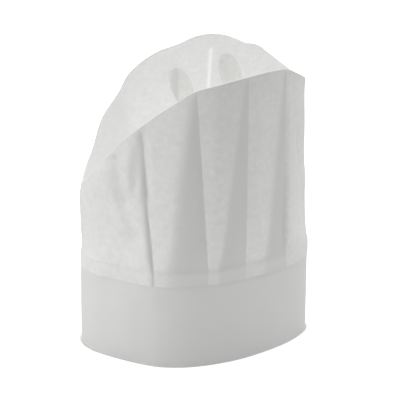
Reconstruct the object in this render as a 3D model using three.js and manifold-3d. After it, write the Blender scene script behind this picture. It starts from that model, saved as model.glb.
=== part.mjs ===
// A white disposable paper chef's hat, opened out and standing on the edge of its headband.
// Millimetres, +Z up. +X runs along the head towards the hat's high end, +Y runs across it.
// The origin is on the surface it stands on, under the middle of the hat's box.
// A place round the hat is a share of its length round: 0 at the high end, 0.25 in the middle of
// the +Y side, 0.5 at the low end, 0.75 in the middle of the -Y side.
import * as THREE from "three";
import { mergeVertices } from "three/addons/utils/BufferGeometryUtils.js";
import Module from "manifold-3d";

// Walls. The paper itself is thinner; its folded layers are built as one solid wall.
const WALL = 1; // thickness of every wall
const GLUE_GAP = 0.3; // clearance where the crown wraps the headband
const RIM_GAP = 0.5; // clearance between the crown's rim and the top panel's edge
const COLUMN = 6.5; // widest step round a wall
const WELD = 1e-4; // corners nearer than this are one corner

// The outline of the headband seen from above, 580 round: one side of the head, from the high end
// to the low end. The other side mirrors it.
const BAND_OUTLINE = [
  { along: 108.5, across: 0 },
  { along: 103.5, across: 16 },
  { along: 83, across: 39 },
  { along: 55, across: 58 },
  { along: 20, across: 74 },
  { along: -20, across: 80.3 },
  { along: -46, across: 75 },
  { along: -60, across: 66.5 },
  { along: -98, across: 30 },
  { along: -107, across: 12.5 },
  { along: -109, across: 0 },
];
const LOW_END = BAND_OUTLINE[BAND_OUTLINE.length - 1];
// The outline of the rim, a rounded lozenge 622 round: half length, half width and roundness.
const RIM_OUTLINE = { along: 103.4, across: 106.3, power: 1.49 };
const OUTLINE_STEPS = 1440;

// Heights above the surface.
const BAND_HEIGHT = 88; // top edge of the headband, hidden inside the crown
const CROWN_START = 76.7; // lower edge of the crown, glued over the headband
const BAND_LEVELS = [0, 30, 50, 66, 77, BAND_HEIGHT]; // heights of the headband's rows
const LOW_END_LEAN = 1.6; // how far the headband's low end leans in at its top edge
const LEAN_FADE = { along: 6, down: 3 }; // powers by which the lean fades along the hat and down
const CROWN_LEVELS = [0, 0.06, 0.12, 0.3, 0.5, 0.75, 0.9, 1]; // shares of the way up to the rim
const PLEAT_FOOT = 0.3; // share of a pleat's depth left where it is pressed onto the headband
const PLEAT_FULL = 0.12; // share of the way up where a pleat is deepest

// How far the crown swells out at its levels: on the sides of the hat and at its two ends.
const BELLY = [
  { level: 0, side: 0, lowEnd: 0, highEnd: 0 },
  { level: 0.06, side: 0.1, lowEnd: -1, highEnd: -1.2 },
  { level: 0.12, side: 0.2, lowEnd: -1.1, highEnd: -2 },
  { level: 0.3, side: 0.5, lowEnd: 0.2, highEnd: -2 },
  { level: 0.4, side: 0.6, lowEnd: 0.6, highEnd: -1.2 },
  { level: 0.5, side: 0.6, lowEnd: 1, highEnd: -2.1 },
  { level: 0.75, side: 0.4, lowEnd: 2, highEnd: -1.1 },
  { level: 0.9, side: 0.2, lowEnd: 1.6, highEnd: -0.9 },
  { level: 1, side: 0, lowEnd: 0, highEnd: 0 },
];

// The slanting rim: its height at a place along the hat, as a share of the half length.
const RIM_LINE = [
  { along: -1, height: 156 },
  { along: -0.84, height: 187 },
  { along: -0.61, height: 220 },
  { along: -0.33, height: 246 },
  { along: 0, height: 262 },
  { along: 0.28, height: 267 },
  { along: 0.5, height: 268 },
  { along: 0.69, height: 262.5 },
  { along: 0.85, height: 253.5 },
  { along: 1, height: 244.5 },
];

// Waves of the rim: how far it stands out from its plan and rises over its line.
const RIM_WAVES = [
  { share: 0, out: -0.3, rise: 0 },
  { share: 0.04, out: -0.3, rise: -0.6 },
  { share: 0.085, out: 0, rise: 2 },
  { share: 0.106, out: -1.5, rise: 4.5 },
  { share: 0.13, out: -3, rise: 2 },
  { share: 0.188, out: 5, rise: 3.7 },
  { share: 0.215, out: 0, rise: 2.6 },
  { share: 0.243, out: -3.5, rise: -2 },
  { share: 0.28, out: 0, rise: -0.5 },
  { share: 0.333, out: 4, rise: 0 },
  { share: 0.365, out: 1, rise: -1 },
  { share: 0.402, out: 4, rise: -2 },
  { share: 0.44, out: 0.8, rise: -1.8 },
  { share: 0.47, out: 1.5, rise: -0.5 },
  { share: 0.5, out: 1.7, rise: 0 },
  { share: 0.535, out: 0.8, rise: 1.8 },
  { share: 0.57, out: 0, rise: 2.2 },
  { share: 0.606, out: 0, rise: 1.1 },
  { share: 0.632, out: 0, rise: 0.3 },
  { share: 0.67, out: 0, rise: 0 },
  { share: 0.69, out: 0, rise: 0.6 },
  { share: 0.7176, out: 0, rise: 3.4 },
  { share: 0.7374, out: 0, rise: 2.4 },
  { share: 0.7626, out: 0, rise: 1 },
  { share: 0.79, out: 0, rise: 0.6 },
  { share: 0.82, out: 0, rise: 0 },
  { share: 0.8525, out: 0, rise: 0.4 },
  { share: 0.88, out: 0, rise: 2.4 },
  { share: 0.914, out: 0, rise: 2.6 },
  { share: 0.9607, out: -0.1, rise: 1.8 },
  { share: 1, out: -0.3, rise: 0 },
];

// Pleats: each is a facet that dips from its ridge to its valley. Both run up to one point of the
// rim, where the pleat has opened out flat. ridge and valley are places on the headband.
const PLEATS = [
  { rim: 0.05, valley: 0.045, ridge: 0.065, depth: 1.2 },
  { rim: 0.124, valley: 0.104, ridge: 0.129, depth: 3 },
  { rim: 0.2445, valley: 0.2455, ridge: 0.285, depth: 4 },
  { rim: 0.333, valley: 0.305, ridge: 0.345, depth: 4 },
  { rim: 0.402, valley: 0.385, ridge: 0.412, depth: 1.5 },
  { rim: 0.56, valley: 0.625, ridge: 0.59, depth: 1.5 },
  { rim: 0.634, valley: 0.6665, ridge: 0.6605, depth: 3 },
  { rim: 0.72, valley: 0.751, ridge: 0.6887, depth: 4 },
  { rim: 0.798, valley: 0.8159, ridge: 0.7652, depth: 3.5 },
  { rim: 0.885, valley: 0.8979, ridge: 0.8515, depth: 3.5 },
  { rim: 0.897, valley: 0.968, ridge: 0.9015, depth: 3 },
];
const PLEAT_POINT = 0.004; // share of the rim between a pleat's ridge and its valley

// The top panel hangs between the two sides of the rim as a trough along the hat.
const PANEL_STATIONS = 40;
const PANEL_ACROSS = [0, 0.25, 0.5, 0.75, 1]; // shares of the way from the middle fold to the rim
const TROUGH_POWER = 1.15; // 1 is a plain V; more rounds the fold in the middle

// Two oval air vents in each half of the panel, centred at these places along and across the hat.
const VENTS = [
  { along: -2.3, across: 53.6 },
  { along: 43.3, across: 44.3 },
];
const VENT = { halfWidth: 9, halfLength: 24.5, segments: 24 };
const VENT_TILT = THREE.MathUtils.degToRad(6); // the ends at the rim lean to the low end

const PAPER = {
  headband: { color: 0xf1f1f0, roughness: 0.55, metalness: 0 },
  crown: { color: 0xf3f3f2, roughness: 0.85, metalness: 0 },
  top_panel: { color: 0xf5f5f4, roughness: 0.85, metalness: 0 },
};

const mix = THREE.MathUtils.lerp;

// A closed lozenge with rounded sides and corners, run through once as t goes from 0 to 1.
class Lozenge extends THREE.Curve {
  constructor({ along, across, power }) {
    super();
    Object.assign(this, { along, across, power });
  }

  getPoint(t, target = new THREE.Vector3()) {
    const c = Math.cos(2 * Math.PI * t);
    const s = Math.sin(2 * Math.PI * t);
    const sum =
      Math.abs(c / this.along) ** this.power + Math.abs(s / this.across) ** this.power;
    const radius = sum ** (-1 / this.power);
    return target.set(radius * c, radius * s, 0);
  }
}

// The closed smooth curve through one side's rows and their mirror image.
function mirroredCurve(rows) {
  const side = rows.map(({ along, across }) => new THREE.Vector3(along, across, 0));
  const other = side.slice(1, -1).reverse();
  const mirrored = other.map(({ x, y }) => new THREE.Vector3(x, -y, 0));
  return new THREE.CatmullRomCurve3([...side, ...mirrored], true, "centripetal");
}

// An outline's point and outward direction at a share of its length round.
class Outline {
  constructor(curve) {
    this.curve = curve;
    curve.arcLengthDivisions = OUTLINE_STEPS;
    this.round = curve.getLength();
  }

  at(share) {
    return this.curve.getPointAt(THREE.MathUtils.euclideanModulo(share, 1));
  }

  outward(share) {
    const near = 2 / this.round;
    const step = this.at(share + near).sub(this.at(share - near)).normalize();
    return new THREE.Vector3(step.y, -step.x, 0);
  }
}

const bandOutline = new Outline(mirroredCurve(BAND_OUTLINE));
const rimOutline = new Outline(new Lozenge(RIM_OUTLINE));

// The value of a table's column at a place, on a smooth curve through its rows.
function smoothAt(rows, key, column, place) {
  const last = rows.length - 1;
  const slope = (i) => {
    const a = rows[Math.max(i - 1, 0)];
    const b = rows[Math.min(i + 1, last)];
    return (b[column] - a[column]) / (b[key] - a[key]);
  };
  if (place <= rows[0][key]) return rows[0][column];
  if (place >= rows[last][key]) return rows[last][column];
  const i = rows.findIndex((row) => row[key] > place) - 1;
  const width = rows[i + 1][key] - rows[i][key];
  const t = (place - rows[i][key]) / width;
  return (
    (2 * t ** 3 - 3 * t ** 2 + 1) * rows[i][column] +
    (t ** 3 - 2 * t ** 2 + t) * width * slope(i) +
    (3 * t ** 2 - 2 * t ** 3) * rows[i + 1][column] +
    (t ** 3 - t ** 2) * width * slope(i + 1)
  );
}

// A point of an outline pushed outwards, at a height.
function raised(spot, outward, push, height) {
  return new THREE.Vector3(spot.x + outward.x * push, spot.y + outward.y * push, height);
}

// A point of the headband's outer face, moved outwards by out. Its low end leans in at the top.
function bandPoint(share, height, out = 0) {
  const spot = bandOutline.at(share);
  const lowEnd = Math.max(0, spot.x / LOW_END.along) ** LEAN_FADE.along;
  const lean = LOW_END_LEAN * lowEnd * (height / BAND_HEIGHT) ** LEAN_FADE.down;
  return raised(spot, bandOutline.outward(share), out - lean, height);
}

// A point of the rim, moved outwards by out.
function rimPoint(share, out = 0) {
  const place = THREE.MathUtils.euclideanModulo(share, 1);
  const plain = rimOutline.at(place);
  const wave = smoothAt(RIM_WAVES, "share", "out", place);
  const rise = smoothAt(RIM_WAVES, "share", "rise", place);
  const height = smoothAt(RIM_LINE, "along", "height", plain.x / RIM_OUTLINE.along);
  return raised(plain, rimOutline.outward(place), wave + out, height + rise);
}

// The ridges, valleys and ends, in order round the hat.
function foldLines() {
  const lines = [];
  for (const { rim, valley, ridge, depth } of PLEATS) {
    const before = ridge < valley ? -PLEAT_POINT : PLEAT_POINT;
    lines.push({ band: valley, rim, out: 0 });
    lines.push({ band: ridge, rim: rim + before, out: depth });
  }
  lines.push({ band: 0, rim: 0, out: 0 });
  lines.push({ band: 0.5, rim: 0.5, out: 0 });
  lines.sort((a, b) => a.band - b.band);
  lines.push({ band: 1, rim: 1, out: 0 });
  return lines;
}

// The upright lines that the walls are made on: the fold lines, with even steps between them.
function wallColumns() {
  const lines = foldLines();
  const columns = [];
  for (let i = 1; i < lines.length; i++) {
    const from = lines[i - 1];
    const to = lines[i];
    const widest = Math.max(
      (to.band - from.band) * bandOutline.round,
      (to.rim - from.rim) * rimOutline.round,
    );
    const steps = Math.ceil(widest / COLUMN);
    for (let k = 0; k < steps; k++) {
      columns.push({
        band: mix(from.band, to.band, k / steps),
        rim: mix(from.rim, to.rim, k / steps),
        out: mix(from.out, to.out, k / steps),
      });
    }
  }
  return columns;
}

// A closed geometry from two matching grids of points, the front sheet and the back sheet, with
// walls along their open edges. A row of a ring closes on itself.
function solidBetween(front, back, ring) {
  const rows = front.length;
  const columns = front[0].length;
  const points = [...front.flat(), ...back.flat()];
  const id = (sheet, row, column) => (sheet * rows + row) * columns + (column % columns);
  const corners = [];
  const quad = (a, b, c, d) => corners.push(a, b, c, a, c, d);
  const spans = ring ? columns : columns - 1;
  for (let c = 0; c < spans; c++) {
    for (let r = 0; r < rows - 1; r++) {
      quad(id(0, r, c), id(0, r, c + 1), id(0, r + 1, c + 1), id(0, r + 1, c));
      quad(id(1, r, c), id(1, r + 1, c), id(1, r + 1, c + 1), id(1, r, c + 1));
    }
    const end = rows - 1;
    quad(id(0, 0, c), id(1, 0, c), id(1, 0, c + 1), id(0, 0, c + 1));
    quad(id(0, end, c), id(0, end, c + 1), id(1, end, c + 1), id(1, end, c));
  }
  if (!ring) {
    const last = columns - 1;
    for (let r = 0; r < rows - 1; r++) {
      quad(id(0, r, 0), id(0, r + 1, 0), id(1, r + 1, 0), id(1, r, 0));
      quad(id(0, r, last), id(1, r, last), id(1, r + 1, last), id(0, r + 1, last));
    }
  }
  const geometry = new THREE.BufferGeometry().setFromPoints(points);
  geometry.setIndex(corners);
  return welded(geometry);
}

// The geometry with shared corners merged and its flat triangles dropped.
function welded(geometry) {
  const merged = mergeVertices(geometry, WELD);
  const kept = [];
  for (let i = 0; i < merged.index.count; i += 3) {
    const [a, b, c] = [0, 1, 2].map((k) => merged.index.getX(i + k));
    if (a !== b && b !== c && c !== a) kept.push(a, b, c);
  }
  merged.setIndex(kept);
  merged.computeVertexNormals();
  return merged;
}

// The smooth strip round the head, upright from the surface to its hidden top edge.
function headbandGeometry(columns) {
  const sheet = (push) =>
    BAND_LEVELS.map((height) => columns.map(({ band }) => bandPoint(band, height, push)));
  return solidBetween(sheet(0), sheet(-WALL), true);
}

// How much of its depth a pleat has at a level: pressed flat at the foot, then opening out
// evenly to nothing at the rim.
function pleatShare(level) {
  if (level >= PLEAT_FULL) return 1 - level;
  return mix(PLEAT_FOOT, 1 - PLEAT_FULL, level / PLEAT_FULL);
}

// The pleated wall: a skirt that wraps the headband, then straight folds up to the open rim.
function crownGeometry(columns) {
  const sheet = (push) => {
    const foot = (height) =>
      columns.map(({ band, out }) =>
        bandPoint(band, height, GLUE_GAP + WALL + push + out * PLEAT_FOOT),
      );
    const start = foot(BAND_HEIGHT);
    const levels = CROWN_LEVELS.map((level) =>
      columns.map(({ band, rim, out }, i) => {
        const outward = bandOutline.outward(band).lerp(rimOutline.outward(rim), level).normalize();
        const end = outward.x < 0 ? "lowEnd" : "highEnd";
        const swells = ["side", end].map((column) => smoothAt(BELLY, "level", column, level));
        const swell = mix(...swells, outward.x ** 2);
        const fold = out * (pleatShare(level) - PLEAT_FOOT * (1 - level));
        const point = start[i].clone().lerp(rimPoint(rim, push), level);
        return raised(point, outward, swell + fold, point.z);
      }),
    );
    return [foot(CROWN_START), ...levels];
  };
  return solidBetween(sheet(0), sheet(-WALL), true);
}

// The panel that closes the top, a trough whose middle fold runs straight from the low end of
// the rim to its high end.
function topPanelSheet(drop) {
  const inset = -(WALL + RIM_GAP);
  const low = rimPoint(0.5, inset);
  const high = rimPoint(0, inset);
  const rows = [];
  for (let k = 0; k <= PANEL_STATIONS; k++) {
    const share = (0.5 * k) / PANEL_STATIONS;
    const left = rimPoint(share, inset);
    const right = rimPoint(1 - share, inset);
    const x = (left.x + right.x) / 2;
    const middle = low.clone().lerp(high, (x - low.x) / (high.x - low.x));
    const half = (edge) =>
      PANEL_ACROSS.map((part) => {
        const point = middle.clone().lerp(edge, part);
        point.z = mix(middle.z, edge.z, part ** TROUGH_POWER) - drop;
        return point;
      });
    rows.push([...half(right).reverse(), ...half(left).slice(1)]);
  }
  return rows;
}

// A geometry as a solid that can be cut, and a cut solid as a geometry again.
const wasm = await Module();
wasm.setup();

function toSolid(geometry) {
  const source = geometry.clone();
  source.deleteAttribute("normal");
  source.deleteAttribute("uv");
  const merged = source.index ? source : mergeVertices(source, WELD);
  return new wasm.Manifold(
    new wasm.Mesh({
      numProp: 3,
      vertProperties: merged.attributes.position.array,
      triVerts: new Uint32Array(merged.index.array),
    }),
  );
}

function toGeometry(solid) {
  const mesh = solid.getMesh();
  const geometry = new THREE.BufferGeometry();
  geometry.setAttribute("position", new THREE.BufferAttribute(mesh.vertProperties, mesh.numProp));
  geometry.setIndex(new THREE.BufferAttribute(mesh.triVerts, 1));
  geometry.computeVertexNormals();
  return geometry;
}

// An upright oval bar that cuts one vent.
function ventCutter({ along, across }, side) {
  const oval = new THREE.Shape();
  const { halfWidth, halfLength } = VENT;
  const full = 2 * Math.PI;
  oval.absellipse(along, side * across, halfWidth, halfLength, 0, full, false, side * VENT_TILT);
  return new THREE.ExtrudeGeometry(oval, {
    depth: RIM_LINE.reduce((top, { height }) => Math.max(top, height), 0),
    curveSegments: VENT.segments,
    bevelEnabled: false,
  });
}

function topPanelGeometry() {
  let panel = toSolid(solidBetween(topPanelSheet(0), topPanelSheet(WALL), false));
  for (const side of [-1, 1]) {
    for (const vent of VENTS) panel = panel.subtract(toSolid(ventCutter(vent, side)));
  }
  return toGeometry(panel);
}

function piece(name, geometry) {
  const mesh = new THREE.Mesh(geometry, new THREE.MeshStandardMaterial(PAPER[name]));
  mesh.name = name;
  return mesh;
}

const hat = new THREE.Group();
const columns = wallColumns();
hat.add(piece("headband", headbandGeometry(columns)));
hat.add(piece("crown", crownGeometry(columns)));
hat.add(piece("top_panel", topPanelGeometry()));

// The middle of the hat's box comes over the origin.
const box = new THREE.Box3().setFromObject(hat);
hat.position.set(-(box.min.x + box.max.x) / 2, -(box.min.y + box.max.y) / 2, 0);

export default hat;
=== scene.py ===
"""A white disposable paper chef's hat, opened out and standing on the edge of its headband.

Sizes are millimetres until a mesh is made. +Z is up, +X runs along the head towards the hat's high
end, and +Y runs across it. A place round the hat is a share of its length round: 0 at the high end,
0.25 in the middle of the +Y side, 0.5 at the low end and 0.75 in the middle of the -Y side.
"""

import math

import bmesh
import bpy
import numpy as np
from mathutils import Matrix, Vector


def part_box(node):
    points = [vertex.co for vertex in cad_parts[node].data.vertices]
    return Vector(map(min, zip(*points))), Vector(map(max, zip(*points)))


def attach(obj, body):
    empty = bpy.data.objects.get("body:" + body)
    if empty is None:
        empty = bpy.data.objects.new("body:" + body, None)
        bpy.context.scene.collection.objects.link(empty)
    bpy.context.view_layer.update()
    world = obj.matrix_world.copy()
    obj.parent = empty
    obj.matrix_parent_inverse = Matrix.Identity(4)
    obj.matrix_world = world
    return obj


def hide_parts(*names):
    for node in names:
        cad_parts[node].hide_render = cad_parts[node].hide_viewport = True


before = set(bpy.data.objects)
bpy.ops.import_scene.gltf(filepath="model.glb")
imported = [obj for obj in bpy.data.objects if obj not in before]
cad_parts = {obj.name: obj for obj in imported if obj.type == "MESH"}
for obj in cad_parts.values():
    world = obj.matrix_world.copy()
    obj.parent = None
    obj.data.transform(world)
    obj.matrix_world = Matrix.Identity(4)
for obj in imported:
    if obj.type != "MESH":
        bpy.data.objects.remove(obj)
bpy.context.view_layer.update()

MM = 0.001

# Paper. The solids of the frame are 1 mm walls; here each sheet has nearly its real thickness.
STRIP_THICKNESS = 0.45
CROWN_THICKNESS = 0.3
GLUE_GAP = 0.3

# The headband's outline from above, 580 round: one side of the head, from the high end to the low
# end. The other side mirrors it.
BAND_OUTLINE = [
    (108.5, 0),
    (103.5, 16),
    (83, 39),
    (55, 58),
    (20, 74),
    (-20, 80.3),
    (-46, 75),
    (-60, 66.5),
    (-98, 30),
    (-107, 12.5),
    (-109, 0),
]
# The rim's outline from above is a rounded lozenge. Its power lies between a diamond's, which is 1,
# and an ellipse's, which is 2.
RIM_HALF_LENGTH = 103.4
RIM_HALF_WIDTH = 106.3
RIM_POWER = 1.49

BAND_HEIGHT = 88
# The crown's lower edge, glued over the top of the band.
CROWN_START = 76.7
# The band's low end leans in at its top by this much. The powers fade the lean along the hat and down.
LOW_END_LEAN = 1.6
LEAN_FADE_ALONG = 6
LEAN_FADE_DOWN = 3
# A pleat is pressed to this share of its depth at its foot, and has its full depth at this level.
# Levels run from 0 at the top of the band to 1 at the rim.
PLEAT_FOOT = 0.3
PLEAT_FULL = 0.12

# How far the crown swells out: (level, on the sides, at the low end, at the high end).
BELLY = [
    (0, 0, 0, 0),
    (0.06, 0.1, -1, -1.2),
    (0.12, 0.2, -1.1, -2),
    (0.3, 0.5, 0.2, -2),
    (0.4, 0.6, 0.6, -1.2),
    (0.5, 0.6, 1, -2.1),
    (0.75, 0.4, 2, -1.1),
    (0.9, 0.2, 1.6, -0.9),
    (1, 0, 0, 0),
]
# The slanting rim: (place along the hat as a share of the half length, height).
RIM_LINE = [
    (-1, 156),
    (-0.84, 187),
    (-0.61, 220),
    (-0.33, 246),
    (0, 262),
    (0.28, 267),
    (0.5, 268),
    (0.69, 262.5),
    (0.85, 253.5),
    (1, 244.5),
]
# Waves of the rim: (place, how far it stands out, how far it rises).
RIM_WAVES = [
    (0, -0.3, 0),
    (0.04, -0.3, -0.6),
    (0.085, 0, 2),
    (0.106, -1.5, 4.5),
    (0.13, -3, 2),
    (0.188, 5, 3.7),
    (0.215, 0, 2.6),
    (0.243, -3.5, -2),
    (0.28, 0, -0.5),
    (0.333, 4, 0),
    (0.365, 1, -1),
    (0.402, 4, -2),
    (0.44, 0.8, -1.8),
    (0.47, 1.5, -0.5),
    (0.5, 1.7, 0),
    (0.535, 0.8, 1.8),
    (0.57, 0, 2.2),
    (0.606, 0, 1.1),
    (0.632, 0, 0.3),
    (0.67, 0, 0),
    (0.69, 0, 0.6),
    (0.7176, 0, 3.4),
    (0.7374, 0, 2.4),
    (0.7626, 0, 1),
    (0.79, 0, 0.6),
    (0.82, 0, 0),
    (0.8525, 0, 0.4),
    (0.88, 0, 2.4),
    (0.914, 0, 2.6),
    (0.9607, -0.1, 1.8),
    (1, -0.3, 0),
]
# Pleats: (place on the rim, valley on the band, ridge on the band, depth, layers of paper, radius
# of the ridge's rounding). More layers let less light through, and they also darken the colour as
# painted shade.
PLEATS = [
    (0.05, 0.045, 0.065, 1.2, 2, 6),
    (0.124, 0.104, 0.129, 3, 2, 5),
    (0.2445, 0.2455, 0.285, 4, 3, 5),
    (0.333, 0.305, 0.345, 4, 3, 4),
    (0.402, 0.385, 0.412, 1.5, 2, 5),
    (0.56, 0.625, 0.59, 0.8, 1, 9),
    (0.634, 0.6665, 0.6625, 4, 3, 8),
    (0.72, 0.751, 0.6887, 3.2, 2.6, 9),
    (0.798, 0.8159, 0.7652, 3.5, 2.7, 4),
    (0.885, 0.8979, 0.8515, 3.5, 3, 6),
    (0.897, 0.968, 0.9015, 4.5, 1, 7),
]
# A pleat still has this width at the rim, as a share of the rim.
PLEAT_POINT = 0.004
# Radius of the rounding of the plain high and low ends, and of each valley.
END_ROUNDING = 9
VALLEY_ROUNDING = 0.8
# A rounding takes no more than this share of the face beside it.
ROUNDING_LIMIT = 0.45
ROUNDING_STEPS = 4

# The grid of the sheets: width of a column, rows of points, and steps of the outlines.
COLUMN = 2.2
BAND_ROWS = 30
WALL_ROWS = 53
SKIRT_LEVELS = [-1, -0.8, -0.6, -0.4, -0.2]
KNOT_STEPS = 80
RIM_STEPS = 1440
# An outline's outward direction is taken over this much of its length to both sides.
OUTLINE_REACH = 2
# Points nearer than this become one, and edges that bend more than this stay sharp.
MERGE_DISTANCE = 0.004
SHARP_ANGLE = math.radians(40)

# The rolled fold where the crown turns over into the top panel.
FOLD_RADIUS = 0.8
FOLD_STEPS = 8

# Soft folds that handling left in the crown: side (1 is +Y), then each end's place along the hat and
# height, the width of the fold, and how far it stands out.
SOFT_FOLDS = [
    (-1, (-89, 176), (-74, 128), 6.0, 3.4),
    (-1, (-81, 186), (-75.5, 152), 4.5, -3.2),
    (-1, (-75.5, 152), (-67, 124), 5.0, -2.2),
    (-1, (-71, 196), (-72.5, 162), 4.0, 2.2),
    (-1, (-64.5, 202), (-65.5, 168), 3.0, -1.5),
    (-1, (-98, 130), (-92, 95), 7.0, 0.8),
    (-1, (-60.5, 219), (-57.5, 160), 3.0, -3.0),
    (-1, (-52, 214), (-38, 204), 4.0, -1.6),
    (-1, (-30, 215), (-36, 165), 9.0, 0.8),
    (-1, (18, 200), (22, 140), 9.0, -0.7),
    (-1, (44, 215), (40, 150), 8.0, 0.7),
]
# A fold fades past its ends over this many times its width.
FOLD_END = 1.5
# The soft folds also fade out over these shares of the crown's height at its foot and at its rim.
SOFT_FOLD_FOOT = 0.1
SOFT_FOLD_RIM = 0.06
# Over this share of the height the band's backing ends at the foot, and the pleats' layers at the rim.
LAYER_FADE = 0.03
# How strongly the rim's rolled fold is whitened as a painted highlight and closed to light, where the
# panel's first crease has 1.
RIM_FOLD_HIGHLIGHT = 0.8
# Where the crown's glued lower edge has come loose: place, width as a share, how far it stands off,
# and the power by which it curls away downwards.
LOOSE_EDGE = 0.568
LOOSE_EDGE_WIDTH = 0.011
LOOSE_EDGE_OUT = 1.8
LOOSE_EDGE_CURL = 1.5
# Dents in the headband, in the same way as the soft folds, and the height over which they fade out at
# its edges.
DENT_FADE = 12
BAND_DENTS = [
    (-1, (-74, 69), (-54, 64), 5.0, 0.9),
    (-1, (-75, 46), (-73, 14), 12.0, 2.0),
    (-1, (-70, 58), (-50, 52), 8.0, -0.7),
    (-1, (20, 55), (34, 20), 14.0, 0.5),
    (-1, (70, 60), (80, 20), 10.0, -0.6),
]
# Creases in the top panel, in the same way but with each end's place along and across the hat. Along
# the first the colour is whitened as a painted highlight, and no light passes there.
PANEL_CREASES = [
    ((31, 78), (20.5, 38), 1.8, 1.6),
    ((14, 96), (15.5, 56), 4.0, -0.5),
    ((3, 98), (9, 60), 3.5, 0.5),
    ((46, 92), (40, 50), 5.0, -0.5),
    ((-14, 96), (-8, 62), 5.0, -0.6),
    ((-73, 70), (-67, 25), 8.0, 1.3),
    ((-16, 94), (-12, 40), 9.0, 1.4),
    ((70, 62), (62, 30), 6.0, -0.7),
    ((-14, -96), (-6, -50), 7.0, -0.9),
    ((30, -92), (24, -40), 6.0, 0.8),
    ((-58, -76), (-46, -30), 8.0, -1.0),
    ((66, -66), (58, -30), 6.0, -0.7),
]

# Up to this place along the hat, the panel's low end counts as two layers of paper: less light passes,
# and its colour carries a painted shade. The edge is soft.
PANEL_DOUBLED_SHADE_END = -50
PANEL_DOUBLED_SHADE_EDGE = 12
# The panel starts this far inside the rim. Its halves hang in a little between the middle and the rim.
PANEL_INSET = 0.9
TROUGH_POWER = 1.15
# Its creases fade over these shares of its half width, at the middle fold and at the rim.
PANEL_FADE_MIDDLE = 0.15
PANEL_FADE_RIM = 0.08
PANEL_STATIONS = 240
PANEL_ACROSS = 72

# The middles of the vents: (place along, place across).
VENTS = [(-2.3, 53.6), (43.3, 44.3)]
VENT_HALF_WIDTH = 9
VENT_HALF_LENGTH = 24.5
VENT_TILT = math.radians(6)
VENT_SEGMENTS = 64
# The punch turned the edge of each vent in: width, drop, and the share near the rim where it fades.
VENT_EDGE_WIDTH = 1.6
VENT_EDGE_DROP = 0.6
VENT_EDGE_FADE = 0.05
# The cutter reaches from below the panel to above it.
CUTTER_HEIGHTS = (100, 300)

# Sizes of the papers' patterns. The fibres are drawn coarser than real ones, to show in the render.
FIBRE_SIZE = 1.5
FIBRE_RELIEF = 0.05
CLOUD_SIZE = 5
# The share of light that one layer and three layers of the nonwoven paper let through.
PASSING_ONE_LAYER = 0.3
PASSING_THREE_LAYERS = 0.17

# The colour sockets of a Mix node, which has sockets of the same name for each kind of value.
MIX_FROM = 6
MIX_TO = 7
MIX_RESULT = 2

# The floor's half size in metres, and how far the painted shadow under the hat's edge reaches.
FLOOR_HALF = 6.0
EDGE_SHADE = 3.5

# Soft square lights: name, place and size in metres, power in watts, and the spot each faces. The last
# one lights the inside of the hat, as a white table does.
ON_HAT = (0, 0, 0.14)
LIGHTS = [
    ("key_left", (-1.35, 0.1, 0.45), 1.0, 4.7, ON_HAT),
    ("key_front", (-1.0, -1.0, 0.45), 0.7, 2.4, ON_HAT),
    ("fill_right", (1.4, 0.1, 0.6), 0.9, 4.7, ON_HAT),
    ("top", (0.1, 0.2, 1.5), 1.0, 7.8, ON_HAT),
    ("back", (0.2, 1.6, 0.5), 1.2, 7.0, ON_HAT),
    ("under", (0.0, 0.0, 0.004), 0.085, 0.27, (0, 0, 1)),
]
SKY_STRENGTH = 0.455

# The camera stands 1.2 m in front of the hat and looks down at it: place, then angles in degrees.
CAMERA_PLACE = (-227.2, -1176.7, 498)
CAMERA_PITCH = 16.957
CAMERA_HEADING = 11.12
FOCAL_LENGTH = 121.05
SENSOR_WIDTH = 36


def curve(start, leaving, end, arriving, t):
    """The smooth curve from start to end that leaves and arrives at the given slopes."""
    return (
        (2 * t**3 - 3 * t**2 + 1) * start
        + (t**3 - 2 * t**2 + t) * leaving
        + (3 * t**2 - 2 * t**3) * end
        + (t**3 - t**2) * arriving
    )


def ramp(rows, place, column=1):
    """The value of a column at a place, on a smooth curve through the table's rows."""
    last = len(rows) - 1
    if place <= rows[0][0]:
        return rows[0][column]
    if place >= rows[last][0]:
        return rows[last][column]

    def slope(i):
        a, b = rows[max(i - 1, 0)], rows[min(i + 1, last)]
        return (b[column] - a[column]) / (b[0] - a[0])

    i = max(k for k in range(last) if rows[k][0] <= place)
    width = rows[i + 1][0] - rows[i][0]
    t = (place - rows[i][0]) / width
    before, after = rows[i][column], rows[i + 1][column]
    return curve(before, width * slope(i), after, width * slope(i + 1), t)


def mix(a, b, t):
    """The value at share t of the way from a to b."""
    return a + (b - a) * t


def smooth_step(t):
    """Goes from 0 to 1 as t does, level at both ends."""
    t = np.clip(t, 0.0, 1.0)
    return t * t * (3 - 2 * t)


class Outline:
    """A closed outline seen from above, walked by its length."""

    def __init__(self, points):
        ring = np.vstack([points, points[:1]])
        steps = np.linalg.norm(np.diff(ring, axis=0), axis=1)
        self.ring = ring
        self.walked = np.concatenate([[0], np.cumsum(steps)])
        self.round = self.walked[-1]

    def at(self, share):
        """The point at a share of the outline's length."""
        place = (share % 1.0) * self.round
        return np.array([np.interp(place, self.walked, self.ring[:, k]) for k in (0, 1)])

    def outward(self, share):
        """The outward direction at a share of the outline's length."""
        near = OUTLINE_REACH / self.round
        step = self.at(share + near) - self.at(share - near)
        step /= np.linalg.norm(step)
        return np.array([step[1], -step[0]])


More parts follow.
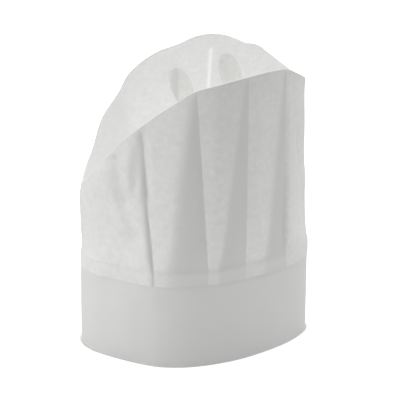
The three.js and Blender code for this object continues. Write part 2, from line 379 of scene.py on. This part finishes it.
def headband_points():
    """Points of the smooth closed curve through one side's rows and their mirror image."""
    side = [np.array(row, float) for row in BAND_OUTLINE]
    mirrored = [np.array((x, -y), float) for x, y in reversed(BAND_OUTLINE[1:-1])]
    knots = side + mirrored
    points = []
    for i in range(len(knots)):
        p0, p1, p2, p3 = (knots[(i + k) % len(knots)] for k in (-1, 0, 1, 2))
        d0, d1, d2 = (math.sqrt(np.linalg.norm(b - a)) for a, b in ((p0, p1), (p1, p2), (p2, p3)))
        m1 = ((p1 - p0) / d0 - (p2 - p0) / (d0 + d1) + (p2 - p1) / d1) * d1
        m2 = ((p2 - p1) / d1 - (p3 - p1) / (d1 + d2) + (p3 - p2) / d2) * d1
        for t in np.linspace(0, 1, KNOT_STEPS, endpoint=False):
            points.append(curve(p1, m1, p2, m2, t))
    return np.array(points)


def rim_points():
    """Points of the rim's rounded lozenge."""
    points = []
    for t in np.linspace(0, 2 * math.pi, RIM_STEPS, endpoint=False):
        c, s = math.cos(t), math.sin(t)
        total = abs(c / RIM_HALF_LENGTH) ** RIM_POWER + abs(s / RIM_HALF_WIDTH) ** RIM_POWER
        radius = total ** (-1 / RIM_POWER)
        points.append((radius * c, radius * s))
    return np.array(points)


band_outline = Outline(headband_points())
rim_outline = Outline(rim_points())

# The solids are moved so that the middle of their box is over the origin. The same move comes from
# the headband's place in the frame.
band_low, band_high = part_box("headband")
band_ring = band_outline.ring
SHIFT = np.array(
    [
        (band_low[k] + band_high[k]) / 2 / MM - (band_ring[:, k].min() + band_ring[:, k].max()) / 2
        for k in (0, 1)
    ]
    + [0.0]
)


def raised(spot, outward, push, height):
    """A point of an outline pushed outwards, at a height."""
    return np.array([spot[0] + outward[0] * push, spot[1] + outward[1] * push, height])


def band_point(share, height, out=0.0):
    """A point of the headband's outer face, moved outwards by out. Its low end leans in at the top."""
    spot = band_outline.at(share)
    low_end = max(0, spot[0] / BAND_OUTLINE[-1][0]) ** LEAN_FADE_ALONG
    lean = LOW_END_LEAN * low_end * (height / BAND_HEIGHT) ** LEAN_FADE_DOWN
    return raised(spot, band_outline.outward(share), out - lean, height)


def rim_point(share, out=0.0):
    """A point of the rim, moved outwards by out."""
    place = share % 1.0
    plain = rim_outline.at(place)
    wave = ramp(RIM_WAVES, place)
    height = ramp(RIM_LINE, plain[0] / RIM_HALF_LENGTH) + ramp(RIM_WAVES, place, 2)
    return raised(plain, rim_outline.outward(place), wave + out, height)


def fold_lines():
    """The ridges, valleys and ends in order: (band, rim, out, rounding, layers after)."""
    lines = []
    for rim, valley, ridge, depth, layers, ridge_rounding in PLEATS:
        before = -PLEAT_POINT if ridge < valley else PLEAT_POINT
        first = min(ridge, valley)
        for band, spot, out, rounding in (
            (valley, rim, 0.0, VALLEY_ROUNDING),
            (ridge, rim + before, depth, ridge_rounding),
        ):
            lines.append((band, spot, out, rounding, layers if band == first else 1))
    end = (0.0, END_ROUNDING, 1)
    lines.append((0.5, 0.5, *end))
    lines.sort()
    return [(0.0, 0.0, *end), *lines, (1.0, 1.0, *end)]


def wall_columns():
    """The upright lines of the crown: [band, rim, out, layers], with each fold rounded."""
    lines = fold_lines()
    corners = [np.array(line[:3]) for line in lines]

    def length(a, b):
        return max((b[0] - a[0]) * band_outline.round, (b[1] - a[1]) * rim_outline.round)

    columns = []
    for i in range(len(lines) - 1):
        a, b = corners[i], corners[i + 1]
        long = length(a, b)
        start = min(lines[i][3] / long, ROUNDING_LIMIT)
        end = 1 - min(lines[i + 1][3] / long, ROUNDING_LIMIT)
        steps = max(1, math.ceil((end - start) * long / COLUMN))
        layers = lines[i][4]
        for k in range(steps + 1):
            columns.append([*mix(a, b, mix(start, end, k / steps)), layers])
        if i + 2 < len(lines):
            c = corners[i + 2]
            after = min(lines[i + 1][3] / length(b, c), ROUNDING_LIMIT)
            p, q = mix(a, b, end), mix(b, c, after)
            for k in range(1, ROUNDING_STEPS):
                t = k / ROUNDING_STEPS
                spot = mix(mix(p, b, t), mix(b, q, t), t)
                columns.append([*spot, mix(layers, lines[i + 1][4], t)])
    return columns


def pleat_share(level):
    """How much of its depth a pleat has: pressed flat at the foot, opened out at the rim."""
    low = mix(PLEAT_FOOT, 1 - PLEAT_FULL, level / PLEAT_FULL)
    return np.where(level >= PLEAT_FULL, 1 - level, low)


def crown_line(column, push, levels):
    """The points of one upright line of the crown, from its skirt to the start of the rim's fold.

    Levels below 0 are the skirt that is glued to the headband.
    """
    band, rim, out, _ = column
    stand = GLUE_GAP + CROWN_THICKNESS + push + out * PLEAT_FOOT
    leaving, arriving = band_outline.outward(band), rim_outline.outward(rim)
    foot = band_point(band, BAND_HEIGHT, stand)
    edge = band_point(band, CROWN_START, stand)
    top = rim_point(rim, push)
    top[2] -= FOLD_RADIUS
    level = np.clip(levels, 0, 1)[:, None]
    facing = mix(leaving, arriving, level)
    facing /= np.linalg.norm(facing, axis=1, keepdims=True)
    line = mix(foot, top, level)
    line += np.maximum(-levels, 0)[:, None] * (edge - foot)
    end = 2 if arriving[0] < 0 else 3
    side_swell = np.array([ramp(BELLY, value) for value in level[:, 0]])[:, None]
    end_swell = np.array([ramp(BELLY, value, end) for value in level[:, 0]])[:, None]
    swell = mix(side_swell, end_swell, facing[:, :1] ** 2)
    fold = out * (pleat_share(level) - PLEAT_FOOT * (1 - level))
    line[:, :2] += facing * (swell + fold)
    fade = smooth_step(level / SOFT_FOLD_FOOT) * smooth_step((1 - level) / SOFT_FOLD_RIM)
    line[:, :2] += facing * fade * soft_folds(line, SOFT_FOLDS)[:, None]
    loose = LOOSE_EDGE_OUT * math.exp(-(((band - LOOSE_EDGE) / LOOSE_EDGE_WIDTH) ** 2))
    line[:, :2] += facing * loose * np.clip(-levels, 0, 1)[:, None] ** LOOSE_EDGE_CURL
    return line


def rolled_rim(column, push):
    """The end of the same line, where the paper turns over inwards into the top panel."""
    rim = column[1]
    outward = rim_outline.outward(rim)
    middle = rim_point(rim, -FOLD_RADIUS)
    middle[2] -= FOLD_RADIUS
    radius = FOLD_RADIUS + push
    points = []
    for k in range(1, FOLD_STEPS + 1):
        turn = math.pi * k / FOLD_STEPS
        aside = radius * math.cos(turn)
        points.append(raised(middle, outward, aside, middle[2] + radius * math.sin(turn)))
    tail = points[-1] - (0, 0, FOLD_RADIUS)
    return np.array([*points, tail])


def near_fold(spots, start, end, width):
    """How near spots are to a fold's line: 1 on it, 0 away from it, fading past its ends."""
    start, end = np.array(start, float), np.array(end, float)
    length = np.linalg.norm(end - start)
    along = (end - start) / length
    walked = (spots - start) @ along
    aside = (spots - start) @ np.array([-along[1], along[0]])
    past = np.maximum(np.maximum(-walked, walked - length), 0)
    return np.exp(-((aside / width) ** 2) - (past / (FOLD_END * width)) ** 2)


def soft_folds(line, folds):
    """How far a table's soft folds push the points of an upright line outwards."""
    side = 1 if line[-1][1] > 0 else -1
    push = np.zeros(len(line))
    for at, start, end, width, out in folds:
        if at == side:
            push += out * near_fold(line[:, [0, 2]], start, end, width)
    return push


def make_mesh(name, points, faces, attributes=None):
    """A mesh object from points in millimetres, at the origin, with point attributes."""
    mesh = bpy.data.meshes.new(name)
    mesh.from_pydata(((np.asarray(points) + SHIFT) * MM).tolist(), [], faces)
    for key, values in (attributes or {}).items():
        layer = mesh.attributes.new(key, "FLOAT", "POINT")
        layer.data.foreach_set("value", values)
    bm = bmesh.new()
    bm.from_mesh(mesh)
    bmesh.ops.remove_doubles(bm, verts=bm.verts, dist=MERGE_DISTANCE * MM)
    bmesh.ops.recalc_face_normals(bm, faces=bm.faces)
    bm.to_mesh(mesh)
    bm.free()
    mesh.shade_smooth()
    mesh.set_sharp_from_angle(angle=SHARP_ANGLE)
    obj = bpy.data.objects.new(name, mesh)
    bpy.context.collection.objects.link(obj)
    return obj


def sheet_faces(rows, columns, ring):
    """The faces of a thin solid made of two grids of points, front then back, with its edges."""

    def spot(side, row, column):
        return (side * rows + row) * columns + column % columns

    spans = columns if ring else columns - 1
    faces = []
    for c in range(spans):
        for r in range(rows - 1):
            cells = ((r, c), (r, c + 1), (r + 1, c + 1), (r + 1, c))
            faces.append([spot(0, *cell) for cell in cells])
            faces.append([spot(1, *cell) for cell in reversed(cells)])
        for r in (0, rows - 1):
            faces.append([spot(0, r, c), spot(1, r, c), spot(1, r, c + 1), spot(0, r, c + 1)])
    if not ring:
        for c in (0, columns - 1):
            for r in range(rows - 1):
                faces.append([spot(0, r, c), spot(0, r + 1, c), spot(1, r + 1, c), spot(1, r, c)])
    return faces


def build_headband():
    """The smooth strip round the head, upright from the surface to its hidden top edge."""
    columns = round(band_outline.round / COLUMN)
    heights = np.linspace(0, BAND_HEIGHT, BAND_ROWS)
    lines = []
    for push in (0, -STRIP_THICKNESS):
        for k in range(columns):
            outward = band_outline.outward(k / columns)
            line = np.array([band_point(k / columns, height, push) for height in heights])
            fade = smooth_step(heights / DENT_FADE) * smooth_step((BAND_HEIGHT - heights) / DENT_FADE)
            line[:, :2] += outward * (fade * soft_folds(line, BAND_DENTS))[:, None]
            lines.append(line)
    grid = np.array(lines).reshape(2, columns, len(heights), 3).transpose(0, 2, 1, 3)
    faces = sheet_faces(len(heights), columns, True)
    return make_mesh("headband_strip", grid.reshape(-1, 3), faces)


def build_crown():
    """The pleated wall, from its glued skirt to the fold at the rim."""
    columns = wall_columns()
    levels = np.array([*SKIRT_LEVELS, *np.linspace(0, 1, WALL_ROWS)])
    sheets = [
        [np.vstack([crown_line(c, push, levels), rolled_rim(c, push)]) for c in columns]
        for push in (0, -CROWN_THICKNESS)
    ]
    grid = np.array(sheets).transpose(0, 2, 1, 3)
    rows = grid.shape[1]
    level = np.concatenate([levels, np.ones(rows - len(levels))])
    fade = smooth_step((1 - level) / LAYER_FADE)
    backed = 1 - smooth_step(level / LAYER_FADE)
    # The rolled rim's rows get a painted highlight: whiter colour, and closed to light.
    pressed_fold_highlight = RIM_FOLD_HIGHLIGHT * (np.arange(rows) >= len(levels))
    spread = np.array([column[3] for column in columns])
    # The layers also darken the paper's colour in the material: painted shade.
    layers = 1 + np.outer(fade, spread - 1)
    attributes = {
        "layers": np.tile(layers.ravel(), 2),
        "backed": np.tile(np.repeat(backed, len(columns)), 2),
        "pressed_fold_highlight": np.tile(np.repeat(pressed_fold_highlight, len(columns)), 2),
    }
    faces = sheet_faces(rows, len(columns), True)
    return make_mesh("crown_wall", grid.reshape(-1, 3), faces, attributes)


def turned_in(spots):
    """How far the edges of the vents are pushed down at points seen from above."""
    push = np.zeros(len(spots))
    for along, across in VENTS:
        x, y = spots[:, 0] - along, np.abs(spots[:, 1]) - across
        c, s = math.cos(VENT_TILT), math.sin(VENT_TILT)
        a = (x * c + y * s) / VENT_HALF_WIDTH
        b = (y * c - x * s) / VENT_HALF_LENGTH
        outside = np.maximum(np.hypot(a, b) - 1, 0) * VENT_HALF_WIDTH
        push += VENT_EDGE_DROP * (1 - smooth_step(outside / VENT_EDGE_WIDTH))
    return push


def panel_half(share, drop):
    """One line of the top panel, from the middle fold to the rim."""
    low, high = rim_point(0.5, -PANEL_INSET), rim_point(0, -PANEL_INSET)
    edge = rim_point(share, -PANEL_INSET)
    other = rim_point(1 - share, -PANEL_INSET)
    edge[2] -= FOLD_RADIUS
    x = (edge[0] + other[0]) / 2
    middle = mix(low, high, (x - low[0]) / (high[0] - low[0]))
    part = np.linspace(0, 1, PANEL_ACROSS)
    line = mix(middle, edge, part[:, None])
    crease = sum(
        out * near_fold(line[:, :2], start, end, width) for start, end, width, out in PANEL_CREASES
    )
    fade = smooth_step(part / PANEL_FADE_MIDDLE) * smooth_step((1 - part) / PANEL_FADE_RIM)
    height = mix(middle[2], edge[2], part**TROUGH_POWER)
    edges = turned_in(line) * smooth_step((1 - part) / VENT_EDGE_FADE)
    line[:, 2] = height - drop + crease * fade - edges
    return line


def build_panel():
    """The trough between the two sides of the rim, with its four vents cut out."""
    points = []
    for drop in (0, CROWN_THICKNESS):
        for k in range(PANEL_STATIONS + 1):
            share = 0.5 * k / PANEL_STATIONS
            points.append(panel_half(1 - share, drop)[::-1])
            points.append(panel_half(share, drop)[1:])
    faces = sheet_faces(PANEL_STATIONS + 1, 2 * PANEL_ACROSS - 1, False)
    spots = np.vstack(points)
    start, end, width, _ = PANEL_CREASES[0]
    # Along the first crease the colour gets a painted highlight and the paper is closed to light.
    pressed_fold_highlight = near_fold(spots[:, :2], start, end, width)
    # The low end's second layer darkens the colour there: painted shade.
    layers = 1 + smooth_step((PANEL_DOUBLED_SHADE_END - spots[:, 0]) / PANEL_DOUBLED_SHADE_EDGE)
    panel = make_mesh("folded_top", spots, faces, {"layers": layers, "pressed_fold_highlight": pressed_fold_highlight})
    for side in (-1, 1):
        for along, across in VENTS:
            cut_vent(panel, along, side * across, side * VENT_TILT)
    return panel


def cut_vent(panel, x, y, tilt):
    """Cuts one oval vent out of the panel."""
    turns = np.linspace(0, 2 * math.pi, VENT_SEGMENTS, endpoint=False)
    c, s = math.cos(tilt), math.sin(tilt)
    points = []
    for height in CUTTER_HEIGHTS:
        for turn in turns:
            a, b = VENT_HALF_WIDTH * math.cos(turn), VENT_HALF_LENGTH * math.sin(turn)
            points.append((x + a * c - b * s, y + a * s + b * c, height))
    n = VENT_SEGMENTS
    faces = [[k, (k + 1) % n, n + (k + 1) % n, n + k] for k in range(n)]
    faces += [list(range(n))[::-1], list(range(n, 2 * n))]
    cutter = make_mesh("vent_cutter", points, faces)
    cut = panel.modifiers.new("vent", "BOOLEAN")
    cut.operation = "DIFFERENCE"
    cut.solver = "EXACT"
    cut.object = cutter
    apply_modifiers(panel)
    bpy.data.objects.remove(cutter)


def apply_modifiers(obj):
    """The object's mesh becomes what its modifiers make of it."""
    shown = obj.evaluated_get(bpy.context.evaluated_depsgraph_get())
    mesh = bpy.data.meshes.new_from_object(shown)
    obj.modifiers.clear()
    obj.data = mesh


def linear(hex_color):
    """A colour given as sRGB hex, as the linear values that nodes take."""
    parts = [int(hex_color[i : i + 2], 16) / 255 for i in (1, 3, 5)]
    return [c / 12.92 if c <= 0.04045 else ((c + 0.055) / 1.055) ** 2.4 for c in parts] + [1]


def add(tree, kind, settings=None, inputs=None):
    """Adds a node with its settings, and with its inputs set to a value or joined to a socket."""
    node = tree.nodes.new(kind)
    for key, value in (settings or {}).items():
        setattr(node, key, value)
    for key, value in (inputs or {}).items():
        if isinstance(value, bpy.types.NodeSocket):
            tree.links.new(value, node.inputs[key])
        else:
            node.inputs[key].default_value = value
    return node


def new_material(name):
    """An empty node material and its output."""
    material = bpy.data.materials.new(name)
    material.use_nodes = True
    tree = material.node_tree
    tree.nodes.clear()
    return material, tree, add(tree, "ShaderNodeOutputMaterial")


def calendered_paper():
    """Bleached kraft paper strip, pressed smooth between rollers: it has a faint soft sheen."""
    material, tree, output = new_material("calendered_kraft_paper")
    place = add(tree, "ShaderNodeTexCoord").outputs["Object"]
    fibres = add(
        tree,
        "ShaderNodeTexNoise",
        inputs={"Vector": place, "Scale": 1 / (FIBRE_SIZE * MM), "Detail": 3.0, "Roughness": 0.6},
    )
    bump = add(
        tree,
        "ShaderNodeBump",
        inputs={
            "Height": fibres.outputs["Fac"],
            "Strength": 0.12,
            "Distance": FIBRE_RELIEF * MM,
        },
    )
    shader = add(
        tree,
        "ShaderNodeBsdfPrincipled",
        inputs={
            "Base Color": linear("#e9e9e8"),
            "Roughness": 0.5,
            "IOR": 1.5,
            "Normal": bump.outputs["Normal"],
        },
    )
    tree.links.new(shader.outputs["BSDF"], output.inputs["Surface"])
    return material


def nonwoven_paper():
    """Wet-laid viscose paper: matt, a little cloudy, and thin enough to let light through. Where it
    lies in layers its colour carries painted shade, and along hard folds a painted highlight.
    """
    material, tree, output = new_material("wetlaid_viscose_paper")
    place = add(tree, "ShaderNodeTexCoord").outputs["Object"]
    clouds = add(
        tree,
        "ShaderNodeTexNoise",
        inputs={"Vector": place, "Scale": 1 / (CLOUD_SIZE * MM), "Detail": 5.0, "Roughness": 0.65},
    )
    layers = add(tree, "ShaderNodeAttribute", {"attribute_name": "layers"})
    cover = add(
        tree,
        "ShaderNodeMapRange",
        inputs={"Value": layers.outputs["Fac"], "From Min": 1.0, "From Max": 3.0},
    )
    tint = add(
        tree,
        "ShaderNodeMix",
        {"data_type": "RGBA"},
        {"Factor": clouds.outputs["Fac"], MIX_FROM: linear("#e6e6e5"), MIX_TO: linear("#fbfbfa")},
    )
    # Where the paper lies in more layers its colour is darkened towards #e7e7e6: painted shade for the
    # shaded pleats.
    painted_layer_shade = add(
        tree,
        "ShaderNodeMix",
        {"data_type": "RGBA"},
        {
            "Factor": cover.outputs["Result"],
            MIX_FROM: tint.outputs[MIX_RESULT],
            MIX_TO: linear("#e7e7e6"),
        },
    )
    # Along the hard folds the colour is whitened towards #ffffff: a painted highlight.
    pressed_fold_highlight = add(tree, "ShaderNodeAttribute", {"attribute_name": "pressed_fold_highlight"})
    paper = add(
        tree,
        "ShaderNodeMix",
        {"data_type": "RGBA"},
        {
            "Factor": pressed_fold_highlight.outputs["Fac"],
            MIX_FROM: painted_layer_shade.outputs[MIX_RESULT],
            MIX_TO: linear("#ffffff"),
        },
    )
    face = add(
        tree,
        "ShaderNodeBsdfPrincipled",
        inputs={"Base Color": paper.outputs[MIX_RESULT], "Roughness": 0.85, "IOR": 1.45},
    )
    through = add(tree, "ShaderNodeBsdfTranslucent", inputs={"Color": paper.outputs[MIX_RESULT]})
    open_part = add(
        tree,
        "ShaderNodeMapRange",
        inputs={
            "Value": layers.outputs["Fac"],
            "From Min": 1.0,
            "From Max": 3.0,
            "To Min": PASSING_ONE_LAYER,
            "To Max": PASSING_THREE_LAYERS,
        },
    )
    backed = add(tree, "ShaderNodeAttribute", {"attribute_name": "backed"})
    closed = add(
        tree,
        "ShaderNodeMath",
        {"operation": "MAXIMUM"},
        {0: backed.outputs["Fac"], 1: pressed_fold_highlight.outputs["Fac"]},
    )
    unbacked = add(
        tree,
        "ShaderNodeMapRange",
        inputs={"Value": closed.outputs["Value"], "To Min": 1.0, "To Max": 0.0},
    )
    passing = add(
        tree,
        "ShaderNodeMath",
        {"operation": "MULTIPLY"},
        {0: open_part.outputs["Result"], 1: unbacked.outputs["Result"]},
    )
    shader = add(
        tree,
        "ShaderNodeMixShader",
        inputs={0: passing.outputs["Value"], 1: face.outputs["BSDF"], 2: through.outputs["BSDF"]},
    )
    tree.links.new(shader.outputs["Shader"], output.inputs["Surface"])
    return material


def lit_floor():
    """White acrylic sheet lit from below: a plain white ground, with a painted shadow only under the
    hat's edge.
    """
    material, tree, output = new_material("lit_white_acrylic")
    near = add(tree, "ShaderNodeAmbientOcclusion", {"samples": 16}, {"Distance": EDGE_SHADE * MM})
    # The floor's glow is dimmed close to the hat's edge: a painted contact shadow.
    painted_edge_shadow = add(
        tree,
        "ShaderNodeMath",
        {"operation": "POWER"},
        {0: near.outputs["AO"], 1: 5.0},
    )
    seen = add(tree, "ShaderNodeLightPath")
    glow = add(
        tree,
        "ShaderNodeMath",
        {"operation": "MULTIPLY"},
        {0: painted_edge_shadow.outputs["Value"], 1: seen.outputs["Is Camera Ray"]},
    )
    shader = add(
        tree,
        "ShaderNodeBsdfPrincipled",
        inputs={
            "Base Color": linear("#dcdcdc"),
            "Roughness": 0.9,
            "Emission Color": linear("#ffffff"),
            "Emission Strength": glow.outputs["Value"],
        },
    )
    tree.links.new(shader.outputs["BSDF"], output.inputs["Surface"])
    return material


def soft_light(name, place, size, power, aim):
    """A square soft light that faces a spot."""
    data = bpy.data.lights.new(name, "AREA")
    data.shape = "SQUARE"
    data.size = size
    data.energy = power
    lamp = bpy.data.objects.new(name, data)
    lamp.location = place
    lamp.rotation_euler = (Vector(aim) - Vector(place)).to_track_quat("-Z", "Y").to_euler()
    bpy.context.collection.objects.link(lamp)


def build_studio():
    """The floor, the lights and the camera."""
    corners = [(-1, -1), (1, -1), (1, 1), (-1, 1)]
    mesh = bpy.data.meshes.new("floor")
    mesh.from_pydata([(x * FLOOR_HALF, y * FLOOR_HALF, 0) for x, y in corners], [], [(0, 1, 2, 3)])
    floor = bpy.data.objects.new("floor", mesh)
    floor.data.materials.append(lit_floor())
    bpy.context.collection.objects.link(floor)
    for light in LIGHTS:
        soft_light(*light)
    world = bpy.data.worlds.new("studio")
    world.use_nodes = True
    background = world.node_tree.nodes["Background"]
    background.inputs["Color"].default_value = linear("#ffffff")
    background.inputs["Strength"].default_value = SKY_STRENGTH
    bpy.context.scene.world = world
    data = bpy.data.cameras.new("camera")
    data.lens = FOCAL_LENGTH
    data.sensor_width = SENSOR_WIDTH
    data.clip_start = 0.05
    data.clip_end = 50
    camera = bpy.data.objects.new("camera", data)
    camera.location = [value * MM for value in CAMERA_PLACE]
    camera.rotation_euler = (
        math.radians(90 - CAMERA_PITCH),
        0,
        math.radians(-CAMERA_HEADING),
    )
    bpy.context.collection.objects.link(camera)
    bpy.context.scene.camera = camera
    bpy.context.scene.view_settings.view_transform = "Standard"


build_studio()
strip_paper = calendered_paper()
wall_paper = nonwoven_paper()
for piece, node, slot, material in (
    (build_headband(), "headband", "coated_paper", strip_paper),
    (build_crown(), "crown", "nonwoven_paper", wall_paper),
    (build_panel(), "top_panel", "nonwoven_paper", wall_paper),
):
    piece.data.materials.append(material)
    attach(piece, "root")
    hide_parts(node)
